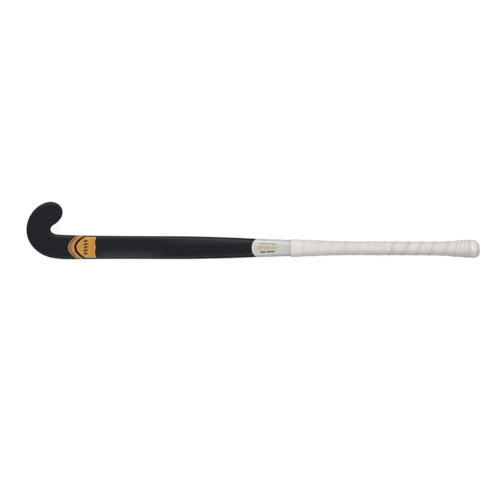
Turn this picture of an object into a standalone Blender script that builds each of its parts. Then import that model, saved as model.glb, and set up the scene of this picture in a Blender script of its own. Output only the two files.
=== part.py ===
"""A right-handed field hockey stick, lying on its back with the playing face up.

Metres, +Z up. X runs from the head to the butt and +Y is the side that the toe curls to. The
origin is under the middle of the stick's box, at the height of the surface that it lies on.
Places along the shaft are given as the distance from the head's end.
"""

from math import cos, pi, sin, sqrt

import bmesh
import bpy
import numpy as np
from mathutils import Vector

# The stick's own line and section, from the toe to the butt. Each row holds the distance from
# the head's end, the distance from the shaft's middle line, half the width, the depth from the
# face to the back, the share of the width that is flat, and the share of the depth down to the
# widest line.
STATIONS = (
    (0.0735, 0.0740, 0.0245, 0.0175, 0.78, 0.42),
    (0.0350, 0.0610, 0.0245, 0.0195, 0.80, 0.40),
    (0.0250, 0.0300, 0.0245, 0.0205, 0.80, 0.40),
    (0.0420, 0.0075, 0.0245, 0.0210, 0.80, 0.40),
    (0.0740, 0.0005, 0.0250, 0.0210, 0.80, 0.40),
    (0.1070, 0.0000, 0.0246, 0.0205, 0.80, 0.39),
    (0.1900, 0.0000, 0.0238, 0.0200, 0.77, 0.38),
    (0.2800, 0.0000, 0.0237, 0.0204, 0.73, 0.38),
    (0.3400, 0.0000, 0.0234, 0.0212, 0.68, 0.40),
    (0.3900, 0.0000, 0.0222, 0.0226, 0.62, 0.42),
    (0.4350, 0.0000, 0.0207, 0.0240, 0.55, 0.44),
    (0.4800, 0.0000, 0.0187, 0.0252, 0.48, 0.46),
    (0.5300, 0.0000, 0.0170, 0.0263, 0.38, 0.48),
    (0.5680, 0.0000, 0.0154, 0.0270, 0.30, 0.49),
    (0.6000, 0.0000, 0.0137, 0.0276, 0.22, 0.50),
    (0.6400, 0.0000, 0.0124, 0.0282, 0.15, 0.50),
    (0.6900, 0.0000, 0.0120, 0.0285, 0.12, 0.50),
    (0.7700, 0.0000, 0.0120, 0.0286, 0.12, 0.50),
    (0.9270, 0.0000, 0.0120, 0.0286, 0.12, 0.50),
)
TOE_ROUND = 0.028  # length over which the toe rounds off to its tip

# The bow, below a straight line from the head's end to the butt: the head's face is one plane
# as far as BOW_START, the shaft is lowest at BOW_LOWEST and it comes back by BUTT_RISE. That
# line slopes by REST_TILT when the stick lies on its back, on the shaft and the finishing band.
BOW_START = 0.080
BOW_LOWEST = 0.260
BOW_DEPTH = 0.024
BUTT_RISE = 0.023
BUTT = 0.927
REST_TILT = 0.0145

GAP = 0.0003  # between neighbouring pieces, where the real stick has glue or a light press
WALL = 0.0020
PLY = 0.0005
TUBE_WALL = 0.0009
FILM = 0.00025
SLEEVE_WALL = 0.0005
BAND_WALL = 0.0006

CORE_END = 0.150
PLY_RANGE = (0.030, 0.200)  # along the middle line from the toe's tip
PLY_EDGE = 0.27  # the place round the section that the face ply's edges reach
PLY_STEPS = 2
TUBE_RANGE = (0.1505, 0.868)
FOAM_RANGE = (0.600, 0.860)
PLUG_RANGE = (0.8685, 0.905)
SHELL_END = 0.905
SLEEVE_RANGE = (0.593, 0.829)
SKIRT_START = 0.832
CAP_INNER_END = 0.9055
BAND_RANGE = (0.5412, 0.5640)
TAPE_RANGE = (0.5445, 0.9075)

# How far the grip's outside stands off the laminate, and how thick its tape is.
GRIP_START_STAND_OFF = 0.0009
GRIP_STAND_OFF = 0.0021
GRIP_FULL_FROM = 0.588
FLARE = 0.0042
FLARE_RANGE = (0.815, 0.908)
FLARE_DELAY = 1.70  # over 1 holds the flare's rise back towards the butt
TAPE_START_THICKNESS = 0.0006
TAPE_THICKNESS = 0.00095

# The butt cap's bare end: place and stand-off, and how far its end leans to the heel side.
CAP_END = (
    (0.9080, 0.0063), (0.9150, 0.0065), (0.9190, 0.0057), (0.9230, 0.0030), (0.9260, -0.0002),
    (0.9270, -0.0022),
)
CAP_LEAN = 0.0025

# Decals, with their noses on the shaft's middle line. Their front edges run back from the nose
# by DECAL_BEND times the square of the distance from the middle line. The crescent lies between
# two such edges and goes over both edges of the face, as far as the place CRESCENT_WRAP round the
# section. The shield's end is scalloped and reaches further at its corners.
DECAL_PLACE = 0.1100  # where the decals' places round the section are worked out
DECAL_BEND = 32.5
CRESCENT_NOSE = 0.0853
CRESCENT_END_NOSE = 0.0976
CRESCENT_WRAP = 0.60
CRESCENT_STEPS = 4
SHIELD_NOSE = 0.1026
SHIELD_HALF_WIDTH = 0.0213
SHIELD_END = 0.1414
SCALLOP = 0.0016
CORNER_REACH = 0.0012
SHIELD_STEPS = 5
DECAL_COLUMNS = 8  # on each side of the middle line
LABEL_ARCH_CENTRE = 0.4820
LABEL_ARCH_RADIUS = 0.0214
LABEL_END = 0.5405
LABEL_ROWS = (0.0, 0.12, 0.30, 0.55, 0.78, 1.0)  # shares of the label's length

# Places around a section: 0 is the middle of the face and 1 the middle of the back.
FLAT_END = 0.30
CORNER_END = 0.50
FLAT_STEPS = 2
CORNER_STEPS = 3
BACK_STEPS = 5
TOE_SIDE = 1
HEEL_SIDE = -1

CAP_STEPS = (1.0, 0.975, 0.90, 0.77, 0.58, 0.32)  # shares of TOE_ROUND, from the tip
HOOK_END = 0.110
HOOK_STEP = 0.010
BOWED_STEP = 0.023
STRAIGHT_STEP = 0.045
STRAIGHT_FROM = 0.340
CLOSEST_RINGS = 0.004
HEADING_STEP = 0.0002
CREASE_ANGLE = pi / 5

LACQUER_BLACK = ("lacquer_black", (0.019, 0.020, 0.024), 0.45, 0.0)
ORANGE_FILM = ("orange_film", (0.62, 0.27, 0.06), 0.40, 0.0)
SILVER_FILM = ("silver_film", (0.55, 0.55, 0.53), 0.35, 0.2)
WHITE_TAPE = ("white_tape", (0.74, 0.71, 0.68), 0.70, 0.0)
WHITE_RUBBER = ("white_rubber", (0.72, 0.70, 0.67), 0.60, 0.0)
WOVEN_LAMINATE = ("woven_laminate", (0.030, 0.030, 0.032), 0.50, 0.0)
YELLOW_ARAMID = ("yellow_aramid", (0.60, 0.44, 0.10), 0.70, 0.0)
CORE_FOAM = ("core_foam", (0.70, 0.62, 0.42), 0.90, 0.0)
SOFT_FOAM = ("soft_foam", (0.16, 0.17, 0.19), 0.95, 0.0)
PLUG_PLASTIC = ("plug_plastic", (0.10, 0.10, 0.11), 0.55, 0.0)


def natural_spline(knots, values):
    """The smooth curve through the values at the knots, as a function of the place."""
    knots = np.array(knots)
    values = np.array(values)
    gaps = np.diff(knots)
    slopes = np.diff(values, axis=0) / gaps[:, None]
    system = np.eye(len(knots))
    right = np.zeros_like(values)
    for i in range(1, len(gaps)):
        system[i, i - 1 : i + 2] = gaps[i - 1], 2 * (gaps[i - 1] + gaps[i]), gaps[i]
        right[i] = 6 * (slopes[i] - slopes[i - 1])
    bends = np.linalg.solve(system, right)

    def at(place):
        i = int(np.clip(np.searchsorted(knots, place) - 1, 0, len(gaps) - 1))
        a = (knots[i + 1] - place) / gaps[i]
        b = 1 - a
        curve = (a**3 - a) * bends[i] + (b**3 - b) * bends[i + 1]
        return a * values[i] + b * values[i + 1] + curve * gaps[i] ** 2 / 6

    return at


def distances_from_tip():
    """How far each station is from the toe's tip, along straight lines between stations."""
    places = [0.0]
    for one, other in zip(STATIONS, STATIONS[1:]):
        places.append(places[-1] + sqrt((other[0] - one[0]) ** 2 + (other[1] - one[1]) ** 2))
    return places


TIP_DISTANCES = distances_from_tip()
SHAFT_OFFSET = TIP_DISTANCES[-1] - BUTT  # from a distance from the head's end to one from the tip
shape_at = natural_spline(TIP_DISTANCES, STATIONS)
DECAL_SECTION = shape_at(DECAL_PLACE + SHAFT_OFFSET)[2:]


def ease(share):
    """0 to 1 with level ends, for a share of the way."""
    share = min(max(share, 0.0), 1.0)
    return share * share * (3 - 2 * share)


def bow(x):
    """How far the face is below the line from head to butt, at a distance from the head's end."""
    bend = BOW_LOWEST - BOW_START
    head_slope = BOW_DEPTH / (BOW_START + bend / 2)
    if x <= BOW_START:
        return head_slope * x
    if x <= BOW_LOWEST:
        return BOW_DEPTH - head_slope * (BOW_LOWEST - x) ** 2 / (2 * bend)
    return BOW_DEPTH - BUTT_RISE * ((x - BOW_LOWEST) / (BUTT - BOW_LOWEST)) ** 2


def face_height(x):
    """Height of the playing face over its height at the head's end."""
    return REST_TILT * x - bow(x)


def section(place, half_width, depth, flat, shoulder):
    """Distance from the middle and height above the face at a place around the section."""
    if place <= FLAT_END:
        return half_width * flat * place / FLAT_END, 0.0
    if place <= CORNER_END:
        turn = pi / 2 * (place - FLAT_END) / (CORNER_END - FLAT_END)
        return half_width * (flat + (1 - flat) * sin(turn)), depth * shoulder * (cos(turn) - 1)
    turn = pi / 2 * (place - CORNER_END) / (1 - CORNER_END)
    return half_width * cos(turn), -depth * (shoulder + (1 - shoulder) * sin(turn))


def surface(along, place, side, inset=0.0, web=0.0):
    """A point of the stick's skin, or of one parallel to it.

    along is the distance from the toe's tip on the middle line, place and side say where round
    the section, inset is the depth below the laminate's skin and web the distance that half a
    section keeps from the middle line.
    """
    x, y, half_width, depth, flat, shoulder = shape_at(along)
    half_width -= inset
    depth -= 2 * inset
    across, height = section(place, half_width, depth, flat, shoulder)
    across = side * (web + across * (1 - web / half_width))

    to_tip = max(0.0, TOE_ROUND - along) / (TOE_ROUND - inset)
    to_tip = min(to_tip, 1.0)
    across *= sqrt(1 - to_tip**2)
    widest = -depth * shoulder
    height = widest + (height - widest) * sqrt(1 - to_tip**6)

    ahead = shape_at(along + HEADING_STEP)
    behind = shape_at(along - HEADING_STEP)
    heading = Vector((ahead[0] - behind[0], ahead[1] - behind[1])).normalized()
    x -= heading.y * across
    y += heading.x * across
    return Vector((x, y, face_height(x) + height - inset))


def half_girth():
    """Places from the middle of the face to the middle of the back."""
    flat = [FLAT_END * k / FLAT_STEPS for k in range(FLAT_STEPS)]
    corner_reach = CORNER_END - FLAT_END
    corner = [FLAT_END + corner_reach * k / CORNER_STEPS for k in range(CORNER_STEPS)]
    back = [CORNER_END + (1 - CORNER_END) * k / BACK_STEPS for k in range(BACK_STEPS + 1)]
    return flat + corner + back


HALF_GIRTH = half_girth()
GIRTH = [(place, TOE_SIDE) for place in HALF_GIRTH]
GIRTH += [(place, HEEL_SIDE) for place in HALF_GIRTH[-2:0:-1]]


def ring(along, inset=0.0):
    return [surface(along, place, side, inset) for place, side in GIRTH]


def half_ring(along, side, inset, web):
    return [surface(along, place, side, inset, web) for place in HALF_GIRTH]


def shaft_places(start, end):
    """Distances from the head's end of the rings between start and end, both included.

    The rings in between are at the same places on every piece, so that nested pieces keep their
    gap where the stick is bowed.
    """
    bowed = np.arange(HOOK_END, STRAIGHT_FROM, BOWED_STEP)
    straight = np.arange(STRAIGHT_FROM, BUTT, STRAIGHT_STEP)
    low, high = start + CLOSEST_RINGS, end - CLOSEST_RINGS
    return [start, *[x for x in (*bowed, *straight) if low < x < high], end]


def head_places(end, inset):
    """Distances from the toe's tip of the rings from the tip to a place on the shaft."""
    cap = [TOE_ROUND - share * (TOE_ROUND - inset) for share in CAP_STEPS]
    hook_end = HOOK_END + SHAFT_OFFSET
    hook = np.linspace(TOE_ROUND, hook_end, round((hook_end - TOE_ROUND) / HOOK_STEP) + 1)
    shaft = [x + SHAFT_OFFSET for x in shaft_places(HOOK_END, end)]
    return [*cap, *hook[:-1], *shaft]


def shaft_rings(start, end, inset):
    """Rings along the shaft; inset may be a function of the distance from the head's end."""
    inset_at = inset if callable(inset) else lambda x: inset
    return [ring(x + SHAFT_OFFSET, inset_at(x)) for x in shaft_places(start, end)]


def material(name, colour, roughness, metallic):
    made = bpy.data.materials.get(name) or bpy.data.materials.new(name)
    made.use_nodes = True
    shader = made.node_tree.nodes["Principled BSDF"]
    shader.inputs["Base Color"].default_value = (*colour, 1.0)
    shader.inputs["Roughness"].default_value = roughness
    shader.inputs["Metallic"].default_value = metallic
    return made


def add_part(name, mesh, finish):
    """Links a finished bmesh as an object named for its piece."""
    bmesh.ops.remove_doubles(mesh, verts=mesh.verts, dist=1e-6)
    bmesh.ops.recalc_face_normals(mesh, faces=mesh.faces)
    data = bpy.data.meshes.new(name)
    mesh.to_mesh(data)
    mesh.free()
    data.shade_smooth()
    data.set_sharp_from_angle(angle=CREASE_ANGLE)
    data.materials.append(material(*finish))
    part = bpy.data.objects.new(name, data)
    parts.objects.link(part)
    part.parent = base
    return part


def join_rows(mesh, one, other):
    for k in range(len(one)):
        after = (k + 1) % len(one)
        mesh.faces.new((one[k], one[after], other[after], other[k]))


def skin(name, rings, finish, loop=False):
    """A closed body through the rings, whose ends are closed, or joined to each other in a loop."""
    mesh = bmesh.new()
    rows = [[mesh.verts.new(point) for point in points] for points in rings]
    for one, other in zip(rows, rows[1:]):
        join_rows(mesh, one, other)
    if loop:
        join_rows(mesh, rows[-1], rows[0])
    else:
        mesh.faces.new(rows[0])
        mesh.faces.new(rows[-1])
    return add_part(name, mesh, finish)


def sheet(name, columns, finish):
    """A thin sheet of columns of (lower point, upper point) pairs."""
    mesh = bmesh.new()
    rows = [[[mesh.verts.new(p) for p in pair] for pair in column] for column in columns]
    for one, other in zip(rows, rows[1:]):
        loops = [[*[low for low, high in row], *[high for low, high in reversed(row)]]
                 for row in (one, other)]
        join_rows(mesh, *loops)
    for row in (rows[0], rows[-1]):
        for (low, high), (next_low, next_high) in zip(row, row[1:]):
            mesh.faces.new((low, next_low, next_high, high))
    return add_part(name, mesh, finish)


def film(name, limit, span, steps, finish):
    """A decal that reaches limit round the section on both sides of the face's middle line.

    span gives, for a distance from the middle line, the first and last place along the shaft.
    """
    columns = []
    for k in range(-DECAL_COLUMNS, DECAL_COLUMNS + 1):
        place = limit * abs(k) / DECAL_COLUMNS
        side = HEEL_SIDE if k < 0 else TOE_SIDE
        across = section(min(place, CORNER_END), *DECAL_SECTION)[0]
        first, last = span(across)
        column = []
        for x in np.linspace(first, last, steps + 1):
            along = x + SHAFT_OFFSET
            column.append([surface(along, place, side, -lift) for lift in (GAP, GAP + FILM)])
        columns.append(column)
    return sheet(name, columns, finish)


def place_on_face(across):
    """The place round the section that is a distance from the middle line, at the decals."""
    half_width, _, flat, _ = DECAL_SECTION
    if across <= flat * half_width:
        return FLAT_END * across / (flat * half_width)
    share = (across / half_width - flat) / (1 - flat)
    return FLAT_END + (CORNER_END - FLAT_END) * np.arcsin(share) / (pi / 2)


def make_laminate_shell():
    outside = [ring(along) for along in head_places(SHELL_END, 0.0)]
    inside = [ring(along, WALL) for along in head_places(SHELL_END, WALL)]
    skin("laminate_shell", outside + inside[::-1], LACQUER_BLACK)


def make_head_core():
    inset = WALL + GAP + PLY + GAP
    skin("head_core", [ring(along, inset) for along in head_places(CORE_END, inset)], CORE_FOAM)


def make_face_ply():
    """A ply behind the playing face, over the head's flat."""
    lift = WALL + GAP
    columns = []
    for k in range(-PLY_STEPS, PLY_STEPS + 1):
        side = HEEL_SIDE if k < 0 else TOE_SIDE
        place = PLY_EDGE * abs(k) / PLY_STEPS
        column = []
        for along in head_places(CORE_END, lift):
            if PLY_RANGE[0] < along < PLY_RANGE[1]:
                column.append([surface(along, place, side, inset) for inset in (lift + PLY, lift)])
        columns.append(column)
    sheet("face_ply", columns, YELLOW_ARAMID)


def make_inner_tubes():
    """Two open tubes side by side, whose meeting walls are the shaft's central rib."""
    outer = WALL + GAP
    for name, side in (("toe_side", TOE_SIDE), ("heel_side", HEEL_SIDE)):
        places = [x + SHAFT_OFFSET for x in shaft_places(*TUBE_RANGE)]
        outside = [half_ring(along, side, outer, GAP / 2) for along in places]
        inner, web = outer + TUBE_WALL, GAP / 2 + TUBE_WALL
        inside = [half_ring(along, side, inner, web) for along in places]
        skin("inner_tube_" + name, outside + inside[::-1], WOVEN_LAMINATE, loop=True)


def make_handle_foam():
    inset = WALL + GAP + TUBE_WALL + GAP
    web = GAP / 2 + TUBE_WALL + GAP
    for name, side in (("toe_side", TOE_SIDE), ("heel_side", HEEL_SIDE)):
        places = [x + SHAFT_OFFSET for x in shaft_places(*FOAM_RANGE)]
        rings = [half_ring(along, side, inset, web) for along in places]
        skin("handle_foam_" + name, rings, SOFT_FOAM)


def make_butt_plug():
    skin("butt_plug", shaft_rings(*PLUG_RANGE, WALL + GAP), PLUG_PLASTIC)


def grip_lead_in(x):
    """0 at the tape's start and 1 where the grip has its full thickness."""
    return ease((x - TAPE_RANGE[0]) / (GRIP_FULL_FROM - TAPE_RANGE[0]))


def grip_outside(x):
    """The grip's outer face as an inset from the laminate's skin, which is below 0."""
    flare = max(0.0, (x - FLARE_RANGE[0]) / (FLARE_RANGE[1] - FLARE_RANGE[0])) ** FLARE_DELAY
    full = GRIP_STAND_OFF - GRIP_START_STAND_OFF
    return -(GRIP_START_STAND_OFF + full * grip_lead_in(x) + FLARE * ease(flare))


def grip_inside(x):
    more = TAPE_THICKNESS - TAPE_START_THICKNESS
    return grip_outside(x) + TAPE_START_THICKNESS + more * grip_lead_in(x)


def make_grip_tape():
    outside = shaft_rings(*TAPE_RANGE, grip_outside)
    inside = shaft_rings(*TAPE_RANGE, grip_inside)
    skin("grip_tape", outside + inside[::-1], WHITE_TAPE, loop=True)


def make_cushion_sleeve():
    outside = shaft_rings(*SLEEVE_RANGE, -GAP - SLEEVE_WALL)
    inside = shaft_rings(*SLEEVE_RANGE, -GAP)
    skin("cushion_sleeve", outside + inside[::-1], SOFT_FOAM, loop=True)


def make_finishing_band():
    outside = shaft_rings(*BAND_RANGE, lambda x: grip_outside(x) - GAP - BAND_WALL)
    inside = shaft_rings(*BAND_RANGE, lambda x: grip_outside(x) - GAP)
    skin("finishing_band", outside + inside[::-1], WHITE_TAPE, loop=True)


def make_butt_cap():
    """A cup with a solid end: its skirt goes over the laminate and under the tape."""
    skirt = shaft_rings(SKIRT_START, TAPE_RANGE[1], lambda x: grip_inside(x) + GAP)
    end = []
    first = CAP_END[0][0]
    for x, stand_off in CAP_END:
        lean = CAP_LEAN * ((x - first) / (BUTT - first)) ** 2
        points = ring(x + SHAFT_OFFSET, -stand_off)
        end.append([point - Vector((0, lean, 0)) for point in points])
    socket = shaft_rings(SKIRT_START, CAP_INNER_END, -GAP)
    skin("butt_cap", socket[::-1] + skirt + end, WHITE_RUBBER)


def make_handle_label():
    """A sleeve of film round the shaft, with the same arched front edge on face and back."""
    shape = shape_at(LABEL_ARCH_CENTRE + SHAFT_OFFSET)
    rings = []
    for lift, order in ((GAP + FILM, LABEL_ROWS), (GAP, LABEL_ROWS[::-1])):
        for share in order:
            points = []
            for place, side in GIRTH:
                across = section(place, *shape[2:])[0]
                front = LABEL_ARCH_CENTRE - sqrt(LABEL_ARCH_RADIUS**2 - across**2)
                x = front + share * (LABEL_END - front)
                points.append(surface(x + SHAFT_OFFSET, place, side, -lift))
            rings.append(points)
    skin("handle_label", rings, SILVER_FILM, loop=True)


def make_crescent_decal():
    """An orange band between two arches, which goes over both edges onto the back's flanks."""

    def span(across):
        setback = DECAL_BEND * across**2
        return CRESCENT_NOSE + setback, CRESCENT_END_NOSE + setback

    film("crescent_decal", CRESCENT_WRAP, span, CRESCENT_STEPS, ORANGE_FILM)


def make_shield_decal():
    """An orange shield with a rounded nose, straight sides and a scalloped end."""

    def span(across):
        share = min(across / SHIELD_HALF_WIDTH, 1.0)
        end = SHIELD_END - SCALLOP * sin(pi * share) + CORNER_REACH * share**4
        return SHIELD_NOSE + DECAL_BEND * across**2, end

    film("shield_decal", place_on_face(SHIELD_HALF_WIDTH), span, SHIELD_STEPS, ORANGE_FILM)


def stand_on_origin():
    """Moves the empty so that the origin is under the middle of the stick's box."""
    meshes = [part.data for part in parts.objects if part.type == "MESH"]
    points = [vertex.co for mesh in meshes for vertex in mesh.vertices]
    low = Vector([min(p[axis] for p in points) for axis in range(3)])
    high = Vector([max(p[axis] for p in points) for axis in range(3)])
    middle = (low + high) / 2
    base.location = (-middle.x, -middle.y, -low.z)


for old in list(bpy.data.objects):
    bpy.data.objects.remove(old)
parts = bpy.data.collections.new("field_hockey_stick")
bpy.context.scene.collection.children.link(parts)
base = bpy.data.objects.new("stick_base", None)
parts.objects.link(base)

make_laminate_shell()
make_head_core()
make_face_ply()
make_inner_tubes()
make_handle_foam()
make_butt_plug()
make_butt_cap()
make_cushion_sleeve()
make_grip_tape()
make_finishing_band()
make_handle_label()
make_crescent_decal()
make_shield_decal()
stand_on_origin()
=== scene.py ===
"""Looks of a right-handed field hockey stick that lies on its back with the playing face up.

Metres, +Z up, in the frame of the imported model: X runs from the head to the butt and +Y is the
side that the toe curls to. Places along the stick are distances from the head's end, and a place
round its section is a number from -1 to 1: 0 is the middle of the face, positive on the toe's
side, and 1 and -1 are the middle of the back.
"""

from math import pi, radians

import bmesh
import bpy
import numpy as np
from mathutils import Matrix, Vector


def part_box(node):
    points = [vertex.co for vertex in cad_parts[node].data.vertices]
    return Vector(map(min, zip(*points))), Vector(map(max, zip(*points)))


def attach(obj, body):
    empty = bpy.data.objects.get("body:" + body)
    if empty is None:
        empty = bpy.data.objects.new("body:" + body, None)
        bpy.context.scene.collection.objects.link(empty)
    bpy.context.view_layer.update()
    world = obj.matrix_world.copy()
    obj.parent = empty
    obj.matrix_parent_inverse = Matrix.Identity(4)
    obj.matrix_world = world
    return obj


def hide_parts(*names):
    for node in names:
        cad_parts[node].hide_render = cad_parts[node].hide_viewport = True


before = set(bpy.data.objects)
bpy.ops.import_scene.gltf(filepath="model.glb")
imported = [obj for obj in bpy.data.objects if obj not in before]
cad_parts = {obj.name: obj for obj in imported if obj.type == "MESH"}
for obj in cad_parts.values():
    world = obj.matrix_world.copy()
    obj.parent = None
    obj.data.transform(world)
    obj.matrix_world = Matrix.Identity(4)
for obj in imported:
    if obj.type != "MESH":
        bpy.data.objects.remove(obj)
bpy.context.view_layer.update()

MM = 0.001

# The stick's own line and section, from the toe to the butt, as the frame has them: distance
# from the head's end, distance from the shaft's middle line, half the width, depth from face to
# back, share of the width that is flat, share of the depth down to the widest line.
STATIONS = (
    (0.0735, 0.0740, 0.0245, 0.0175, 0.78, 0.42),
    (0.0350, 0.0610, 0.0245, 0.0195, 0.80, 0.40),
    (0.0250, 0.0300, 0.0245, 0.0205, 0.80, 0.40),
    (0.0420, 0.0075, 0.0245, 0.0210, 0.80, 0.40),
    (0.0740, 0.0005, 0.0250, 0.0210, 0.80, 0.40),
    (0.1070, 0.0000, 0.0246, 0.0205, 0.80, 0.39),
    (0.1900, 0.0000, 0.0238, 0.0200, 0.77, 0.38),
    (0.2800, 0.0000, 0.0237, 0.0204, 0.73, 0.38),
    (0.3400, 0.0000, 0.0234, 0.0212, 0.68, 0.40),
    (0.3900, 0.0000, 0.0222, 0.0226, 0.62, 0.42),
    (0.4350, 0.0000, 0.0207, 0.0240, 0.55, 0.44),
    (0.4800, 0.0000, 0.0187, 0.0252, 0.48, 0.46),
    (0.5300, 0.0000, 0.0170, 0.0263, 0.38, 0.48),
    (0.5680, 0.0000, 0.0154, 0.0270, 0.30, 0.49),
    (0.6000, 0.0000, 0.0137, 0.0276, 0.22, 0.50),
    (0.6400, 0.0000, 0.0124, 0.0282, 0.15, 0.50),
    (0.6900, 0.0000, 0.0120, 0.0285, 0.12, 0.50),
    (0.7700, 0.0000, 0.0120, 0.0286, 0.12, 0.50),
    (0.9270, 0.0000, 0.0120, 0.0286, 0.12, 0.50),
)
TOE_ROUND = 0.028  # length of the rounding at the toe's tip
BOW_START = 0.080  # the face is straight up to here
BOW_LOWEST = 0.260  # where it is furthest below the line that the bow hangs from
BOW_DEPTH = 0.024
BUTT_RISE = 0.023  # how far it comes up again from there to the butt
BUTT = 0.927  # distance of the butt's end from the head's
REST_TILT = 0.0145  # slope of that line when the stick lies on its back
FLAT_END = 0.30  # places round the section where the flat and the rounded corner end
CORNER_END = 0.50
FACE_CROWN = 0.55  # how sharply the face turns into its rounded edges: 1 is as in the frame
HEADING_STEP = 0.0002  # half the length over which the middle line's direction is taken

WALL = 0.0020  # thickness of the laminate
SHELL_END = 0.905
HOOK_END = 0.110  # the body's rings are closer together up to here
SKIN_STEPS = (0.0022, 0.006)  # between rings on the hook and on the shaft
LINING_STEPS = (0.006, 0.020)
TIP_RINGS = 20
ROUND_COLUMNS = 96  # points round the body and the butt cap

# Painted sheen: a lighter grey painted into the lacquer along one side of the face, as the
# highlight of a gently curved face: start, full, still full and end of it along the stick, the
# side, and how much.
PAINTED_SHEEN = ((0.140, 0.165, 0.230, 0.300, -1, 1.0), (0.250, 0.310, 0.430, 0.480, 1, 0.42))
PAINTED_SHEEN_PLACES = (0.04, 0.26, 0.30, 0.44)

# Grip: how far its outside stands off the laminate in the frame, and how thick its tape is.
TAPE_RANGE = (0.5445, 0.9075)
GRIP_START_STAND_OFF = 0.0009
GRIP_STAND_OFF = 0.0021
GRIP_FULL_FROM = 0.588
FLARE = 0.0042  # how much further out the tape is at the end of the flare
FLARE_RANGE = (0.815, 0.908)
FLARE_DELAY = 1.70  # over 1 the flare starts slowly
TAPE_START_THICKNESS = 0.0006
TAPE_THICKNESS = 0.00095

# The tape's winds: where the butt-side edge of each turn crosses the middle of the face.
WIND_EDGES = (
    0.5440, 0.5710, 0.5980, 0.6235, 0.6515, 0.6810, 0.7095, 0.7310, 0.7520, 0.7795, 0.8070, 0.8335,
    0.8600, 0.8860, 0.9100, 0.9330, 0.9560,
)
TAPE_WIDTH = 0.0303  # along the stick; square to its own edges it is 4% less
EDGE_THICKNESS = 0.00042
SKIVE = 0.0045  # width of the thinned strip along each edge
LAYER_GAP = 0.00002
HEAD_END_TURN = 0.10  # the strip's end near the head, in turns from the first place above
BUTT_END_SHORT = 0.05  # its other end is this far before the last place but one
RIDGE_LEAST = 0.0036  # the least width of tape over the turn below it
COVER_LEAST = 0.0012  # the least width of tape under the turn nearer the head
COVER_TO_RIDGE = 0.012  # the least width of tape between those two
CLIMB_BEFORE = 0.0012  # the tape starts to climb this far before the turn below it
CLIMB_LENGTH = 0.0014
EDGE_ROUNDING = 0.0004
EDGE_LEAST = 0.05  # share of its thickness that is left at the very edge
# Raised lips along an edge: distance from it, width and height.
EDGE_LIP = (0.0010, 0.0006, 0.00020)
RIDGE_LIP = (0.0005, 0.0006, 0.00016)

# Rows of points across the strip. COVER_ROWS, RIDGE_ROWS and EDGE_ROWS are distances in mm from
# where it comes out from under a turn, from where it climbs one, and from its butt-side edge.
HIDDEN_ROWS = (0.0, 0.4, 0.8)  # shares of the width before the first of COVER_ROWS
COVER_ROWS = (-0.5, 0.0, 0.2, 0.4, 0.7, 1.1)
PLAIN_ROWS = 12
RIDGE_ROWS = (-1.8, -1.3, -1.0, -0.7, -0.4, -0.1, 0.2, 0.5, 0.9, 1.3)
EDGE_ROWS = (1.8, 1.3, 0.9, 0.6, 0.35, 0.15, 0.0)

# Dirt and painted shade darken the tape where the strip comes out from under a turn, along its
# edge and before it climbs, where its steps would be in shade.
DIRT_AND_SHADE_WIDTH = 0.0006
EDGE_DIRT_AND_SHADE = (0.0003, 0.75)  # how wide it is and how much
RIDGE_DIRT_AND_SHADE = (-0.0009, 0.80)  # where it is, from where the strip climbs, and how much
# Dirt and painted shade, and painted shade in the wrinkles' folds: their amounts nearer the head,
# added past CRISP_RANGE, and added on the flare.
DIRT_AND_SHADE_AMOUNTS = (0.28, 0.72, -0.45)
CREASE_SHADE_AMOUNTS = (0.20, 0.35, 0.45)
CRISP_RANGE = (0.738, 0.746)  # nearer the head, the tape gets less dirt and painted shade at its edges and in its folds
COLUMNS_PER_TURN = 72

BAND_RANGE = (0.5412, 0.5640)
BAND_TURNS = 1.35
BAND_GIRTH_START = 0.80  # share of the girth, from the heel side, where it starts
BAND_LAP = 0.90  # turns after which it starts to climb its own first turn
BAND_LAP_LENGTH = 0.10
BAND_TAPE = 0.00028
BAND_SINK = 0.0001  # extra thickness, with which its second turn presses into the first
BAND_GAP = 0.0003
BAND_EDGE = 0.00020  # its edge on the label stands off the laminate by this
BAND_CLIMB = 0.0016  # from that edge to its full height
BAND_ROUNDING = 0.0003
BAND_EDGE_LEAST = 0.4  # share of its thickness that is left at the very edge
BAND_ROWS = (13, 10)  # rows before the grip tape's start and over it
BAND_COLUMNS_PER_TURN = 96

SKIRT_START = 0.832
SKIRT_RINGS = 26
CAP_GAP = 0.0003  # between the cap's skirt and the tape, and between its socket and the laminate
CAP_INNER_END = 0.9055
SOCKET_RINGS = 8
CAP_END = (  # the cap's outside past the tape: distance from the head's end, stand-off
    (0.9080, 0.0064), (0.9150, 0.0065), (0.9191, 0.0057), (0.9231, 0.0029), (0.9258, 0.0000),
    (0.9267, -0.0026), (0.9270, -0.0056), (0.9270, -0.0088),
)
CAP_END_RINGS = 26
CAP_LEAN = 0.0025  # how far its end leans to the heel side

# Decals on the face. The crescent's two edges run back from their noses, on the middle line, by
# DECAL_BEND times the square of the distance from that line.
DECAL_PLACE = 0.1100  # where the decals' places round the section are worked out
DECAL_BEND = 33.0
CRESCENT_NOSE = 0.0853
CRESCENT_END_NOSE = 0.0976
CRESCENT_WRAP = 0.60  # place round the section where it ends, past the widest line
CRESCENT_LINE = 0.0023
CRESCENT_GAP = 0.0011
CRESCENT_CORNER_COLUMNS = 40
CRESCENT_FACE_COLUMNS = 61
STRIPE_WIDTH = 0.0036
STRIPE_PLACES = (0.38, 0.56)
STRIPE_COLUMNS = 14
KEYLINE = 0.0050  # the black line between the crescent's end and the shield's front
SHIELD_HALF_WIDTH = 0.0213
SHIELD_END = 0.1414
SCALLOP = 0.0016  # how far its end is drawn in between its middle and its corners
CORNER_REACH = 0.0012
SHIELD_RIM = 0.0009
SHIELD_COLUMNS = 81
SHIELD_TONES_START = 0.080  # where its colours along the stick start, and over what length
SHIELD_TONES_LENGTH = 0.070
KEYLINE_SIDE = 0.0012
MARK_PLACE = 0.1214
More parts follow.
